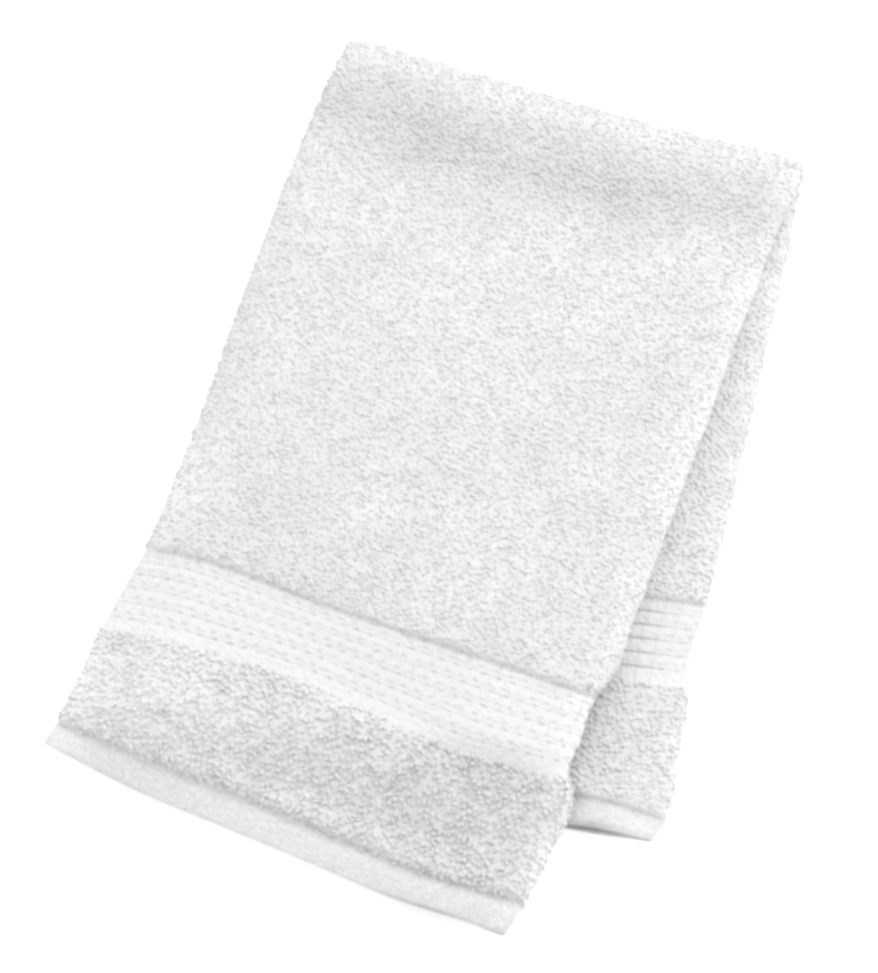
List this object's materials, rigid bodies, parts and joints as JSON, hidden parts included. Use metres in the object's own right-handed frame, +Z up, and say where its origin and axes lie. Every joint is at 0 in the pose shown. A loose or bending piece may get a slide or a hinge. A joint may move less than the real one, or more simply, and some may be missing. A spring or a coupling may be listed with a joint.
{
  "type": "hand towel",
  "caption": "White terry hand towel with a ribbed woven band near each hem, folded lengthwise and then across, lying flat.",
  "frame": {"origin": "middle of the folded towel's outline, on the surface it lies on", "axes": "+Z up; the crosswise fold is parallel to X at the +Y side, the hems lie toward -Y, and the lower half shows at the +X side"},
  "size_m": [0.2834, 0.4188, 0.0219],
  "materials": {
    "towel": "white cotton terry loops with flat woven bands and hems"
  },
  "bodies": {
    "root": {"towel": "towel"}
  },
  "joints": []
}
